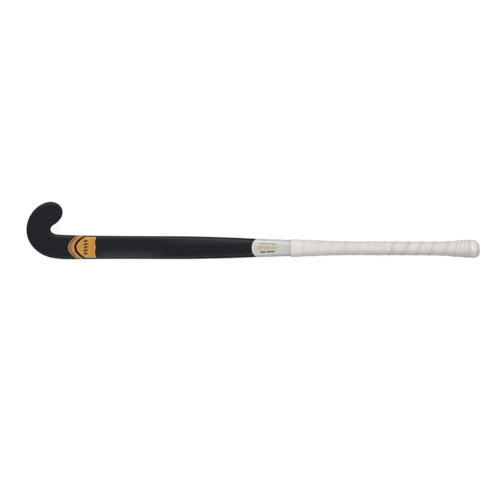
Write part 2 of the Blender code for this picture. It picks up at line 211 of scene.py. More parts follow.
MARK_PITCH = 0.0064
MARK_LENGTHS = (0.0068, 0.0078, 0.0072, 0.0078, 0.0068)
MARK_WIDTH = 0.0040
MARK_SLANT = 0.0036
LABEL_ARCH_CENTRE = 0.4834
LABEL_ARCH_RADIUS = 0.0214
LABEL_END = 0.5418
LABEL_RIM = 0.0022
LABEL_RIM_INSET = 0.0002
LABEL_COLUMNS = 160
LABEL_TEXT_PLACE = 0.4950  # where the places of the bars round the section are worked out
LABEL_LINES = (("label_line_long", (0.4765, 0.4975)), ("label_line_short", (0.5000, 0.5105)))
LABEL_LINES_ACROSS = (0.0078, 0.0094)
LABEL_BARS = (("label_bar_front", (0.4790, 0.4905)), ("label_bar_back", (0.4925, 0.5085)))
LABEL_BARS_ACROSS = (-0.0092, -0.0066)
LABEL_BLOCKS = 6
LABEL_BLOCKS_ACROSS = (-0.0036, 0.0040)
LABEL_FIRST_BLOCK = 0.4735
LABEL_BLOCK = 0.0052
LABEL_BLOCK_PITCH = 0.0069
LABEL_BLOCK_SLANT = 0.0022
BAR_COLUMNS = 5
NARROW_ROWS = 4  # rows of points along the stick: narrow decals, crescent, shield, label, its rim
CRESCENT_ROWS = 7
SHIELD_ROWS = 9
LABEL_ROWS = 14
LABEL_RIM_ROWS = 3
FILM_LOW = (0.00002, 0.00007)  # lower and upper face of a decal over the laminate's skin
FILM_MIDDLE = (0.00008, 0.00012)
FILM_HIGH = (0.00013, 0.00017)

# Studio. Brightness by height: 0 and below is the horizon, 1 straight up.
WALLS = ((0.0, 0.02), (0.02, 0.44), (0.45, 0.64), (0.72, 0.56), (0.92, 0.085))
BACKDROP = (  # radius and height of the floor's rings
    (7.0, 0.0), (9.0, 0.0), (10.0, 0.17), (11.0, 0.75), (11.8, 2.0), (12.0, 4.0), (12.0, 16.0),
)
FLOOR_COLUMNS = 96
FLOOR_COLOUR = (0.20, 0.20, 0.20)
FLOOR_GLOW = 0.90
# Softboxes: name, place, the point that it is turned to, size and power.
SOFTBOXES = (
    ("toe_side_softbox", (-0.05, 1.75, 1.45), (-0.05, 0, 0), (1.6, 0.9), 35),
    ("heel_side_softbox", (-0.26, -1.75, 1.45), (-0.26, 0, 0), (1.2, 0.9), 17),
)
CAMERA_LENS = 150
SENSOR = 36
VIEW_WIDTH = 1.0270  # how much of the plane of the stick's middle the view takes in
VIEW_CENTRE = (-0.0053, -0.0384)
VIEW_HEIGHT = 0.020  # height of that plane
CAMERA_ROLL = radians(0.20)


def natural_spline(knots, values):
    """The smooth curve through the values at the knots, as a function of an array of places."""
    knots = np.array(knots, float)
    values = np.array(values, float)
    gaps = np.diff(knots)
    slopes = (np.diff(values, axis=0).T / gaps).T
    system = np.eye(len(knots))
    right = np.zeros_like(values)
    for i in range(1, len(gaps)):
        system[i, i - 1 : i + 2] = gaps[i - 1], 2 * (gaps[i - 1] + gaps[i]), gaps[i]
        right[i] = 6 * (slopes[i] - slopes[i - 1])
    bends = np.linalg.solve(system, right)

    def at(place):
        i = np.clip(np.searchsorted(knots, place) - 1, 0, len(gaps) - 1)
        a = (knots[i + 1] - place) / gaps[i]
        b = 1 - a
        bow_a = (a**3 - a) * gaps[i] ** 2 / 6
        bow_b = (b**3 - b) * gaps[i] ** 2 / 6
        parts = ((a, values[i]), (b, values[i + 1]), (bow_a, bends[i]), (bow_b, bends[i + 1]))
        return sum((weight * part.T).T for weight, part in parts)

    return at


def distances_from_tip():
    """Distance of each station from the toe's tip, by straight steps between them."""
    line = np.array(STATIONS)[:, :2]
    return np.concatenate([[0.0], np.cumsum(np.linalg.norm(np.diff(line, axis=0), axis=1))])


TIP_DISTANCES = distances_from_tip()
SHAFT_OFFSET = TIP_DISTANCES[-1] - BUTT
shape_at = natural_spline(TIP_DISTANCES, STATIONS)


def ease(share):
    """A smooth step from 0 to 1."""
    share = np.clip(share, 0.0, 1.0)
    return share * share * (3 - 2 * share)


def rise_and_fall(place, start, full, full_end, end):
    """0 up to start and from end on, 1 from full to full_end."""
    return ease((place - start) / (full - start)) * ease((end - place) / (end - full_end))


def bow(x):
    """How far the face is below the straight line that the bow hangs from."""
    bend = BOW_LOWEST - BOW_START
    head_slope = BOW_DEPTH / (BOW_START + bend / 2)
    arc = BOW_DEPTH - head_slope * (BOW_LOWEST - x) ** 2 / (2 * bend)
    rise = BOW_DEPTH - BUTT_RISE * ((x - BOW_LOWEST) / (BUTT - BOW_LOWEST)) ** 2
    return np.where(x <= BOW_START, head_slope * x, np.where(x <= BOW_LOWEST, arc, rise))


def face_height(x):
    """Height of the face over its place at the head's end."""
    return REST_TILT * x - bow(x)


def frame_origin():
    """Where the head's end, the middle line and the face's height at the head are in the frame."""
    shell_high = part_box("laminate_shell")[1]
    plug_low, plug_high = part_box("butt_plug")
    height = shell_high.z - float(face_height(SHELL_END))
    return np.array([shell_high.x - SHELL_END, (plug_low.y + plug_high.y) / 2, height])


ORIGIN = frame_origin()


def section(round_place, half_width, depth, flat, shoulder):
    """Distance from the middle and height over the face at places round the section.

    The face runs into its rounded edges along a superellipse, so that no line shows where the
    flat ends. With a crown of 1 it crosses the frame's elliptical corner at half its width.
    """
    place = np.abs(round_place)
    corner = pi / 2 * np.clip((place - FLAT_END) / (CORNER_END - FLAT_END), 0, 1)
    back = pi / 2 * np.clip((place - CORNER_END) / (1 - CORNER_END), 0, 1)
    face = np.minimum(place / FLAT_END, 1.0) * flat + (1 - flat) * np.sin(corner)
    across = np.where(place <= CORNER_END, face, np.cos(back)) * half_width
    power = 2 + FACE_CROWN * (np.log(0.25) / np.log((1 + flat) / 2) - 2)
    drop = 1 - np.sqrt(np.maximum(0.0, 1 - np.minimum(face, 1.0) ** power))
    height = -shoulder * drop - (1 - shoulder) * np.sin(back)
    return np.sign(round_place) * across, depth * height


def skin(along, round_place, inset=0.0):
    """Points of the stick's skin, or of one parallel to it that is inset deeper.

    along is the distance from the toe's tip on the middle line.
    """
    along, round_place, inset = np.broadcast_arrays(along, round_place, inset)
    shape = along.shape
    along, round_place, inset = along.ravel(), round_place.ravel(), inset.ravel()
    x, y, half_width, depth, flat, shoulder = shape_at(along).T
    depth = depth - 2 * inset
    across, height = section(round_place, half_width - inset, depth, flat, shoulder)

    to_tip = np.clip((TOE_ROUND - along) / (TOE_ROUND - np.maximum(inset, 0)), 0, 1)
    across = across * np.sqrt(1 - to_tip**2)
    widest = -depth * shoulder
    height = widest + (height - widest) * np.sqrt(1 - to_tip**6)

    heading = shape_at(along + HEADING_STEP)[:, :2] - shape_at(along - HEADING_STEP)[:, :2]
    heading /= np.linalg.norm(heading, axis=1)[:, None]
    x = x - heading[:, 1] * across
    y = y + heading[:, 0] * across
    points = np.stack([x, y, face_height(x) + height - inset], axis=1) + ORIGIN
    return points.reshape(*shape, 3)


def shaft(x, round_place, inset=0.0):
    """As skin, for distances from the head's end on the straight shaft."""
    return skin(np.asarray(x) + SHAFT_OFFSET, round_place, inset)


def shape_on_shaft(x):
    """Half the width, depth, share that is flat and shoulder at a distance from the head's end."""
    return shape_at(np.array([x + SHAFT_OFFSET]))[0, 2:]


def to_round_place(across, x):
    """The place round the section, on the face, at a distance from the middle line."""
    half_width, _, flat, _ = shape_on_shaft(x)
    share = np.abs(across) / half_width
    corner = np.arcsin(np.clip((share - flat) / (1 - flat), 0, 1)) / (pi / 2)
    on_corner = FLAT_END + corner * (CORNER_END - FLAT_END)
    return np.sign(across) * np.where(share <= flat, FLAT_END * share / flat, on_corner)


# Meshes


def add_mesh(name, verts, faces, finish, sharp=35, marks=None):
    """A piece from points and faces; marks are named values at its points, for its material."""
    mesh = bmesh.new()
    marks = marks or {}
    for mark in marks:
        mesh.verts.layers.float.new(mark)
    made = [mesh.verts.new(point) for point in verts]
    for mark, values in marks.items():
        layer = mesh.verts.layers.float[mark]
        for vertex, value in zip(made, np.ravel(values)):
            vertex[layer] = value
    for face in faces:
        mesh.faces.new([made[i] for i in face])
    bmesh.ops.remove_doubles(mesh, verts=mesh.verts, dist=1e-7)
    bmesh.ops.recalc_face_normals(mesh, faces=mesh.faces)
    data = bpy.data.meshes.new(name)
    mesh.to_mesh(data)
    mesh.free()
    data.shade_smooth()
    data.set_sharp_from_angle(angle=radians(sharp))
    data.materials.append(finish)
    piece = bpy.data.objects.new(name, data)
    bpy.context.scene.collection.objects.link(piece)
    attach(piece, "root")
    return piece


def solid(name, loops, finish, joined=False, sharp=35, marks=None):
    """A closed body through loops of points; its ends are capped, or joined to each other."""
    loops = np.asarray(loops)
    rows, count = loops.shape[:2]
    faces = []
    for i in range(rows if joined else rows - 1):
        one, other = i * count, (i + 1) % rows * count
        for k in range(count):
            after = (k + 1) % count
            faces.append((one + k, one + after, other + after, other + k))
    if not joined:
        faces.append(tuple(range(count)))
        faces.append(tuple(range((rows - 1) * count, rows * count)))
    return add_mesh(name, loops.reshape(-1, 3), faces, finish, sharp, marks)


def patch(name, front, back, places, rows, layer, finish):
    """A decal as a closed thin sheet, its front and back edge given at places round the section.

    Its mark named share goes from 0 at its front edge to 1 at its back edge.
    """
    shares = np.linspace(0, 1, rows)
    x = front[:, None] + (back - front)[:, None] * shares[None, :]
    grid = np.broadcast_to(places[:, None], x.shape)
    upper = shaft(x, grid, -layer[1])
    lower = shaft(x, grid, -layer[0])
    loop_shares = np.concatenate([shares, shares[::-1]])
    marks = {"share": np.broadcast_to(loop_shares, (len(x), 2 * rows))}
    return solid(name, np.concatenate([upper, lower[:, ::-1]], axis=1), finish, marks=marks)


def full_round(count):
    """Even places all round the section."""
    return (np.arange(count) * 2 / count) - 1


# Pieces


def make_body(finish):
    """The laminate shell: outer skin, open butt end and inner skin."""
    around = full_round(ROUND_COLUMNS)
    tip_shares = np.cos(np.linspace(0, pi / 2, TIP_RINGS))[:-1]
    hook_end = HOOK_END + SHAFT_OFFSET
    shell_end = SHELL_END + SHAFT_OFFSET

    def rings(inset, hook_step, shaft_step):
        tip = TOE_ROUND - tip_shares * (TOE_ROUND - inset)
        hook = np.arange(TOE_ROUND, hook_end, hook_step)
        straight = np.arange(hook_end, shell_end - shaft_step / 2, shaft_step)
        along = np.concatenate([tip, hook, straight, [shell_end]])
        return skin(along[:, None], around[None, :], inset), along - SHAFT_OFFSET

    outside, places = rings(0.0, *SKIN_STEPS)
    inside, _ = rings(WALL, *LINING_STEPS)
    # Painted highlight: how much lighter grey is painted into the lacquer at each point.
    painted_sheen = np.zeros((len(outside) + len(inside), len(around)))
    for *along_range, side, amount in PAINTED_SHEEN:
        along = rise_and_fall(places, *along_range)
        across = rise_and_fall(side * around, *PAINTED_SHEEN_PLACES)
        painted_sheen[: len(outside)] += amount * along[:, None] * across[None, :]
    loops = np.concatenate([outside, inside[::-1]])
    piece = solid("stick_body", loops, finish, marks={"painted_sheen": painted_sheen})
    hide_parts("laminate_shell")


def decal_edge(nose, across, margin=0.0):
    """An arched edge, or one that is further back by margin, square to it."""
    slope = 2 * DECAL_BEND * across
    return nose + DECAL_BEND * across**2 + margin * np.sqrt(1 + slope**2)


def across_at(places):
    """Distance from the middle line, held at the section's widest past the edge of the face."""
    on_face = np.clip(places, -CORNER_END, CORNER_END)
    return section(on_face, *shape_on_shaft(DECAL_PLACE))[0]


def make_crescent(fill, line, stripe):
    """An orange band between two arches, which goes over both edges of the face."""
    corner = np.linspace(FLAT_END, CRESCENT_WRAP, CRESCENT_CORNER_COLUMNS)
    flat = np.linspace(-FLAT_END, FLAT_END, CRESCENT_FACE_COLUMNS)[1:-1]
    around = np.concatenate([-corner[::-1], flat, corner])
    start = decal_edge(CRESCENT_NOSE, across_at(around))
    line_end = start + CRESCENT_LINE
    end = decal_edge(CRESCENT_END_NOSE, across_at(around))
    patch("crescent_line", start, line_end, around, NARROW_ROWS, FILM_LOW, line)
    fill_start = line_end + CRESCENT_GAP
    piece = patch("crescent_fill", fill_start, end, around, CRESCENT_ROWS, FILM_LOW, fill)
    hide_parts("crescent_decal")
    # A light grey stripe at the crescent's end, drawn only where it runs over the rounded edges.
    for name, side in (("toe_side", 1), ("heel_side", -1)):
        places = side * np.linspace(*STRIPE_PLACES, STRIPE_COLUMNS)
        end = decal_edge(CRESCENT_END_NOSE, across_at(places))
        start = end - STRIPE_WIDTH
        patch(f"crescent_stripe_{name}", start, end, places, NARROW_ROWS, FILM_MIDDLE, stripe)


def shield_outline(margin=0.0):
    """Distances from the middle line and the shield's two edges there, drawn in by margin."""
    across = (SHIELD_HALF_WIDTH - margin) * np.linspace(-1, 1, SHIELD_COLUMNS)
    front = decal_edge(CRESCENT_END_NOSE, across, KEYLINE + margin)
    share = np.abs(across) / SHIELD_HALF_WIDTH
    end = SHIELD_END - SCALLOP * np.abs(np.sin(pi * share)) + CORNER_REACH * share**4
    return across, front, end - margin


def make_shield(fill, rim, mark, keyline):
    """An orange shield on a larger black one, with a light rim and a row of dashes."""
    across, _, back = shield_outline(-KEYLINE_SIDE)
    front = decal_edge(CRESCENT_END_NOSE, across)
    places = to_round_place(across, DECAL_PLACE)
    patch("shield_keyline", front, back, places, SHIELD_ROWS, FILM_LOW, keyline)

    across, front, back = shield_outline()
    places = to_round_place(across, DECAL_PLACE)
    piece = patch("shield_fill", front, back, places, SHIELD_ROWS, FILM_MIDDLE, fill)
    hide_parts("shield_decal")

    outer, inner = (
        (np.concatenate([start, end[::-1]]), np.concatenate([sides, sides[::-1]]))
        for sides, start, end in (shield_outline(), shield_outline(SHIELD_RIM))
    )
    outline_solid("shield_rim", outer, inner, rim)

    rows = np.array([-0.5, 0.0, 0.5])
    for k, length in enumerate(MARK_LENGTHS):
        middle = MARK_PITCH * ((len(MARK_LENGTHS) - 1) / 2 - k)
        start = MARK_PLACE - length / 2 + MARK_SLANT * rows
        places = to_round_place(middle + MARK_WIDTH * rows, DECAL_PLACE)
        end = start + length
        patch(f"shield_mark_{k + 1}", start, end, places, NARROW_ROWS, FILM_HIGH, mark)


def outline_solid(name, outer, inner, finish):
    """A thin closed line between an outer and an inner outline on the face."""
    low, high = FILM_HIGH
    corners = []
    for (x, across), lift in ((outer, high), (inner, high), (inner, low), (outer, low)):
        corners.append(shaft(x, to_round_place(across, DECAL_PLACE), -lift))
    return solid(name, np.stack(corners, axis=1), finish, joined=True)


def label_front(around):
    """The label's arched front edge, the same on the face and on the back."""
    across = section(around, *shape_on_shaft(LABEL_ARCH_CENTRE))[0]
    return LABEL_ARCH_CENTRE - np.sqrt(LABEL_ARCH_RADIUS**2 - across**2)


def sleeve(name, front, back, around, layer, rows, finish):
    """A film all round the stick; its mark named share goes from 0 at its front edge to 1."""
    shares = np.linspace(0, 1, rows)[:, None]
    x = front[None, :] + (back - front)[None, :] * shares
    outside = shaft(x, around[None, :], -layer[1])
    inside = shaft(x, around[None, :], -layer[0])
    share = np.broadcast_to(np.concatenate([shares, shares[::-1]]), (2 * rows, len(around)))
    loops = np.concatenate([outside, inside[::-1]])
    return solid(name, loops, finish, joined=True, marks={"share": share})


def make_label(base, rim, grey, gold, dark):
    """A silver-grey sleeve with a bright front rim, and plain bars where lettering would be."""
    around = full_round(LABEL_COLUMNS)
    front = label_front(around)
    back = np.full_like(front, LABEL_END)
    piece = sleeve("label_film", front, back, around, FILM_LOW, LABEL_ROWS, base)
    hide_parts("handle_label")
    rim_start = front + LABEL_RIM_INSET
    rim_end = front + LABEL_RIM
    sleeve("label_rim", rim_start, rim_end, around, FILM_MIDDLE, LABEL_RIM_ROWS, rim)

    def bar(name, x_range, across_range, finish, slant=0.0):
        places = to_round_place(np.linspace(*across_range, BAR_COLUMNS), LABEL_TEXT_PLACE)
        start = x_range[0] + slant * np.linspace(-0.5, 0.5, BAR_COLUMNS)
        end = start + x_range[1] - x_range[0]
        patch(name, start, end, places, NARROW_ROWS, FILM_MIDDLE, finish)

    for (name, x_range), finish in zip(LABEL_LINES, (grey, dark)):
        bar(name, x_range, LABEL_LINES_ACROSS, finish)
    for k in range(LABEL_BLOCKS):
        start = LABEL_FIRST_BLOCK + LABEL_BLOCK_PITCH * k
        x_range = (start, start + LABEL_BLOCK)
        bar(f"label_block_{k + 1}", x_range, LABEL_BLOCKS_ACROSS, gold, LABEL_BLOCK_SLANT)
    for name, x_range in LABEL_BARS:
        bar(name, x_range, LABEL_BARS_ACROSS, dark)


def grip_lead_in(x):
    """0 where the tape starts, 1 from where the grip has its full thickness."""
    return ease((x - TAPE_RANGE[0]) / (GRIP_FULL_FROM - TAPE_RANGE[0]))


def grip_outside(x):
    """How far the frame's grip stands off the laminate."""
    share = np.maximum(0.0, (x - FLARE_RANGE[0]) / (FLARE_RANGE[1] - FLARE_RANGE[0]))
    full = GRIP_STAND_OFF - GRIP_START_STAND_OFF
    return GRIP_START_STAND_OFF + full * grip_lead_in(x) + FLARE * ease(share**FLARE_DELAY)


def grip_inside(x):
    """How far the inside of the tape stands off the laminate."""
    thickness = TAPE_START_THICKNESS + (TAPE_THICKNESS - TAPE_START_THICKNESS) * grip_lead_in(x)
    return grip_outside(x) - thickness


def girth_places(x, count=721):
    """Places round the section by the share of the girth, from the heel side over the face."""
    around = np.linspace(-CORNER_END, 2 - CORNER_END, count)
    wrapped = (around + 1) % 2 - 1
    points = shaft(np.full(count, x), wrapped, -GRIP_STAND_OFF)
    steps = np.linalg.norm(np.diff(points[:, 1:], axis=0), axis=1)
    shares = np.concatenate([[0.0], np.cumsum(steps)]) / np.sum(steps)

    def at(share):
        return (np.interp(share % 1.0, shares, around) + 1) % 2 - 1

    return at


FACE_MIDDLE = 0.25  # share of the girth, from the heel side, at the middle of the face
GIRTH_PLACE = 0.75  # where along the stick the girth is measured
place_by_girth = girth_places(GIRTH_PLACE)
wind_edge = natural_spline(np.arange(len(WIND_EDGES)), WIND_EDGES)


def hump(value, middle, width):
    """1 at the middle, falling off smoothly to nothing past about twice the width."""
    return np.exp(-(((value - middle) / width) ** 2))


def tape_thickness(from_head_edge):
    """The tape is skived thin along both edges."""
    reach = np.minimum(from_head_edge, TAPE_WIDTH - from_head_edge) / SKIVE
    return EDGE_THICKNESS + (TAPE_THICKNESS - EDGE_THICKNESS) * ease(reach)


def make_grip(finish):
    """One strip of tape wound from the butt to the head, each turn over the one before it."""
    last = len(WIND_EDGES) - 2
    turns = np.linspace(HEAD_END_TURN, last - BUTT_END_SHORT, last * COLUMNS_PER_TURN)
    edge = wind_edge(turns)
    around = place_by_girth(turns + FACE_MIDDLE)
    head_edge = edge - TAPE_WIDTH

    # Where, across the strip, the turn nearer the head ends on it, and where it climbs the next.
    covered = TAPE_WIDTH - (edge - wind_edge(turns - 1))
    ridge = np.minimum(wind_edge(turns + 1) - edge, TAPE_WIDTH - RIDGE_LEAST)
    covered = np.clip(covered, COVER_LEAST, ridge - COVER_TO_RIDGE)
    at_cover = np.array(COVER_ROWS) * MM
    at_ridge = np.array(RIDGE_ROWS) * MM
    at_edge = np.array(EDGE_ROWS) * MM
    plain = np.linspace(0.0, 1.0, PLAIN_ROWS + 2)[1:-1]
    first = covered + at_cover[-1]
    reach = ridge + at_ridge[0] - first
    across = np.concatenate([
        (covered + at_cover[0])[:, None] * np.array(HIDDEN_ROWS),
        covered[:, None] + at_cover,
        first[:, None] + reach[:, None] * plain,
        ridge[:, None] + at_ridge,
        np.broadcast_to(TAPE_WIDTH - at_edge, (len(turns), len(at_edge))),
    ], axis=1)
    least, most = ((end - head_edge)[:, None] for end in TAPE_RANGE)
    across = np.clip(across, least, most)

    x = head_edge[:, None] + across
    past_ridge = across - ridge[:, None]
    past_cover = across - covered[:, None]
    to_edge = TAPE_WIDTH - across
    climb = ease((past_ridge + CLIMB_BEFORE) / CLIMB_LENGTH)
    low = grip_inside(x) + climb * (tape_thickness(np.maximum(past_ridge, 0.0)) + LAYER_GAP)
    rounding = np.sqrt(1 - np.clip(1 - to_edge / EDGE_ROUNDING, 0, 1) ** 2)
    lip = np.zeros_like(across)
    for distance, (middle, width, height) in ((to_edge, EDGE_LIP), (past_ridge, RIDGE_LIP)):
        lip += height * hump(distance, middle, width)
    high = low + (tape_thickness(across) + lip) * np.maximum(rounding, EDGE_LEAST)
    grid = np.broadcast_to(around[:, None], x.shape)
    upper = shaft(x, grid, -high)
    lower = shaft(x, grid, -low)
    loops = np.concatenate([upper, lower[:, ::-1]], axis=1)

    crisp = ease((x - CRISP_RANGE[0]) / (CRISP_RANGE[1] - CRISP_RANGE[0]))
    flared = ease((x - FLARE_RANGE[0]) / (FLARE_RANGE[1] - FLARE_RANGE[0]))

    def by_stretch(amounts):
        near_head, past_crisp, on_flare = amounts
        return near_head + past_crisp * crisp + on_flare * flared

    # Dirt and painted shade: darker at the seams, where the tape's steps would be in shade.
    dirt_and_shade = hump(past_cover, 0.0, DIRT_AND_SHADE_WIDTH) + EDGE_DIRT_AND_SHADE[1] * (to_edge < EDGE_DIRT_AND_SHADE[0])
    dirt_and_shade += RIDGE_DIRT_AND_SHADE[1] * hump(past_ridge, RIDGE_DIRT_AND_SHADE[0], DIRT_AND_SHADE_WIDTH)
    steps = np.linalg.norm(np.diff(upper[:, len(HIDDEN_ROWS)], axis=0), axis=1)
    length = np.concatenate([[0.0], np.cumsum(steps)])
    marks = {
        "dirt_and_shade": np.clip(dirt_and_shade * by_stretch(DIRT_AND_SHADE_AMOUNTS), 0, 1),
        # how much painted shade the wrinkles' folds get
        "crease_shade": by_stretch(CREASE_SHADE_AMOUNTS),
        "across": across,
        "along": np.broadcast_to(length[:, None], x.shape),
    }
    marks = {
        name: np.concatenate([values, values[:, ::-1]], axis=1) for name, values in marks.items()
    }
    piece = solid("grip_tape_wrap", loops, finish, sharp=50, marks=marks)
    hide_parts("grip_tape")


def make_band(finish):
    """Finishing tape wound a turn and a third over the grip's start, ending on the back."""
    turns = np.linspace(0, BAND_TURNS, int(BAND_TURNS * BAND_COLUMNS_PER_TURN))
    around = place_by_girth(turns + BAND_GIRTH_START)
    x = np.concatenate([
        np.linspace(BAND_RANGE[0], TAPE_RANGE[0], BAND_ROWS[0])[:-1],
        np.linspace(TAPE_RANGE[0], BAND_RANGE[1], BAND_ROWS[1]),
    ])
    climb = ease((x - BAND_RANGE[0]) / BAND_CLIMB)
    base = BAND_EDGE + (grip_outside(x) + BAND_GAP - BAND_EDGE) * climb
    layer = (BAND_TAPE + LAYER_GAP) * ease((turns - BAND_LAP) / BAND_LAP_LENGTH)
    low = base[None, :] + layer[:, None]
    edge = np.minimum(x - BAND_RANGE[0], BAND_RANGE[1] - x)
    rounding = np.clip(edge / BAND_ROUNDING, BAND_EDGE_LEAST, 1)
    high = low + (BAND_TAPE + BAND_SINK) * rounding[None, :]
    grid = np.broadcast_to(around[:, None], low.shape)
    places = np.broadcast_to(x[None, :], low.shape)
    upper = shaft(places, grid, -high)
    lower = shaft(places, grid, -low)
    piece = solid("finishing_tape", np.concatenate([upper, lower[:, ::-1]], axis=1), finish)
    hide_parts("finishing_band")


def make_cap(finish):
    """The butt cap: a cup whose skirt is under the tape, with a rounded, leaning end."""
    around = full_round(ROUND_COLUMNS)
    skirt_x = np.linspace(SKIRT_START, TAPE_RANGE[1], SKIRT_RINGS)
    skirt_inset = (CAP_GAP - grip_inside(skirt_x))[:, None]
    skirt = shaft(skirt_x[:, None], around[None, :], skirt_inset)
    profile = natural_spline(np.arange(len(CAP_END)), CAP_END)
    end_start = CAP_END[0][0]
    end = []
    for x, stand_off in profile(np.linspace(0, len(CAP_END) - 1, CAP_END_RINGS)):
        lean = CAP_LEAN * ((x - end_start) / (BUTT - end_start)) ** 2
        end.append(shaft(np.full(len(around), x), around, -stand_off) - np.array([0, lean, 0]))
    socket_x = np.linspace(CAP_INNER_END, SKIRT_START, SOCKET_RINGS)
    socket = shaft(socket_x[:, None], around[None, :], -CAP_GAP)
    loops = np.concatenate([socket, skirt, end])
    piece = solid("butt_cap_moulding", loops, finish, sharp=60)
    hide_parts("butt_cap")


# Materials


class Finish:
    """A Principled material; its textures lie in the mesh's own space."""

    def __init__(self, name, colour, roughness, metallic=0.0, specular=0.5):
        self.material = bpy.data.materials.new(name)
        self.material.use_nodes = True
        self.tree = self.material.node_tree
        self.shader = self.tree.nodes["Principled BSDF"]
        self.shader.inputs["Base Color"].default_value = (*colour, 1.0)
        self.shader.inputs["Roughness"].default_value = roughness
        self.shader.inputs["Metallic"].default_value = metallic
        self.shader.inputs["Specular IOR Level"].default_value = specular
        self.place = self.add("ShaderNodeTexCoord").outputs["Object"]

    def add(self, kind, **settings):
        node = self.tree.nodes.new(kind)
        for key, value in settings.items():
            setattr(node, key, value)
        return node

    def link(self, output, socket):
        self.tree.links.new(output, socket)

    def mark(self, name):
        """A named value at the mesh's points."""
        return self.add("ShaderNodeAttribute", attribute_name=name).outputs["Fac"]

    def noise(self, scale, detail=3.0, roughness=0.5, vector=None):
        node = self.add("ShaderNodeTexNoise")
        node.inputs["Scale"].default_value = scale
        node.inputs["Detail"].default_value = detail
        node.inputs["Roughness"].default_value = roughness
        self.link(vector or self.place, node.inputs["Vector"])
        return node.outputs["Fac"]

    def ramp(self, value, stops):
        node = self.add("ShaderNodeValToRGB")
        marks = node.color_ramp.elements
        while len(marks) < len(stops):
            marks.new(0.5)
        for mark, (position, colour) in zip(marks, stops):
            mark.position = position
            mark.color = (*colour, 1.0)
        self.link(value, node.inputs["Fac"])
        return node.outputs["Color"]

    def mix(self, factor, one, other, blend="MIX"):
        node = self.add("ShaderNodeMix", data_type="RGBA", blend_type=blend)
        sockets = (node.inputs[0], node.inputs[6], node.inputs[7])
        for value, socket in zip((factor, one, other), sockets):
            if isinstance(value, bpy.types.NodeSocket):
                self.link(value, socket)
            elif isinstance(value, tuple):
                socket.default_value = (*value, 1.0)
            else:
                socket.default_value = value
        return node.outputs[2]

    def spread(self, value, low, high, from_low=0.3, from_high=0.7):
        """Low to high over a range of the value, which suits noise unless it is given."""
        node = self.add("ShaderNodeMapRange")
        limits = {"From Min": from_low, "From Max": from_high, "To Min": low, "To Max": high}
        for name, number in limits.items():
            node.inputs[name].default_value = number
        self.link(value, node.inputs["Value"])
        return node.outputs["Result"]

    def colour(self, output):
        self.link(output, self.shader.inputs["Base Color"])

    def roughness(self, output):
        self.link(output, self.shader.inputs["Roughness"])

    def bump(self, value, height, strength=1.0):
        node = self.add("ShaderNodeBump")
        node.inputs["Strength"].default_value = strength
        node.inputs["Distance"].default_value = height
        self.link(value, node.inputs["Height"])
        old = self.shader.inputs["Normal"].links
        if old:
            self.link(old[0].from_socket, node.inputs["Normal"])
        self.link(node.outputs["Normal"], self.shader.inputs["Normal"])


def shade(colour, factor):
    """A lighter or darker tone of a colour."""
    return tuple(channel * factor for channel in colour)


def plain_film(name, colour, roughness, specular=0.5):
    """Printed film: its ink is a little uneven and its lacquer faintly rippled."""
    made = Finish(name, colour, roughness, 0.0, specular)
    ink = made.noise(420, 4)
    made.colour(made.ramp(ink, ((0.3, shade(colour, 0.88)), (0.7, shade(colour, 1.12)))))
    made.roughness(made.spread(made.noise(90), roughness - 0.05, roughness + 0.06))
    made.bump(made.noise(700, 2), 0.00002)
    return made.material


def lacquer_black():
    base = (0.0105, 0.0114, 0.0142)
    made = Finish("matte_black_lacquer", base, 0.45, 0.0, 0.15)
    cloud = made.noise(9, 2)
    grain = made.noise(900, 2)
    tone = made.ramp(cloud, ((0.35, shade(base, 0.88)), (0.65, shade(base, 1.16))))
    tone = made.mix(grain, tone, shade(base, 1.30))
    # Painted sheen: the lacquer's colour is painted towards a lighter grey where this mark is set.
    made.colour(made.mix(made.mark("painted_sheen"), tone, (0.0330, 0.0360, 0.0430)))
    made.roughness(made.spread(made.noise(60, 4), 0.40, 0.52))
    made.bump(made.noise(1400, 2), 0.000012)
    made.bump(made.noise(160, 2), 0.00004, 0.5)
    return made.material


def crescent_orange():
    """Orange print that goes from reddish brown at its outer edge to a light gold."""
    base = (0.520, 0.232, 0.055)
    made = Finish("shaded_orange_print", base, 0.40, 0.0, 0.4)
    tone = made.ramp(made.mark("share"), (
        (0.00, (0.280, 0.120, 0.045)), (0.22, (0.420, 0.170, 0.045)), (0.55, (0.540, 0.240, 0.055)),
        (0.85, (0.600, 0.310, 0.085)), (1.00, (0.520, 0.280, 0.090)),
    ))
    speckle = made.ramp(made.noise(460, 3), ((0.42, (0.86, 0.85, 0.82)), (0.60, (1.08, 1.08, 1.07))))
    made.colour(made.mix(1.0, tone, speckle, "MULTIPLY"))
    made.roughness(made.spread(made.noise(120), 0.34, 0.48))
    made.bump(made.noise(800, 2), 0.00002)
    return made.material


def shield_orange(name, tint):
    """Pearl orange print with a speckle, a yellower band and a redder one along the stick."""
    base = (0.640, 0.262, 0.066)
    made = Finish(name, base, 0.40, 0.0, 0.4)
    split = made.add("ShaderNodeSeparateXYZ")
    made.link(made.place, split.inputs["Vector"])
    start = ORIGIN[0] + SHIELD_TONES_START
    share = made.spread(split.outputs["X"], 0.0, 1.0, start, start + SHIELD_TONES_LENGTH)
    bands = made.ramp(share, (
        (0.00, (0.600, 0.235, 0.060)), (0.25, (0.640, 0.270, 0.070)), (0.55, (0.640, 0.275, 0.066)),
        (0.66, (0.620, 0.310, 0.052)), (0.73, (0.640, 0.290, 0.060)), (0.79, (0.660, 0.225, 0.062)),
        (0.86, (0.670, 0.300, 0.085)),
    ))
    speckle = made.ramp(made.noise(460, 3), ((0.42, (0.70, 0.68, 0.62)), (0.60, (1.16, 1.16, 1.14))))
    made.colour(made.mix(1.0, made.mix(0.75, bands, speckle, "MULTIPLY"), tint, "MULTIPLY"))
    made.roughness(made.spread(made.noise(120), 0.34, 0.48))
    made.bump(made.noise(800, 2), 0.00002)
    return made.material


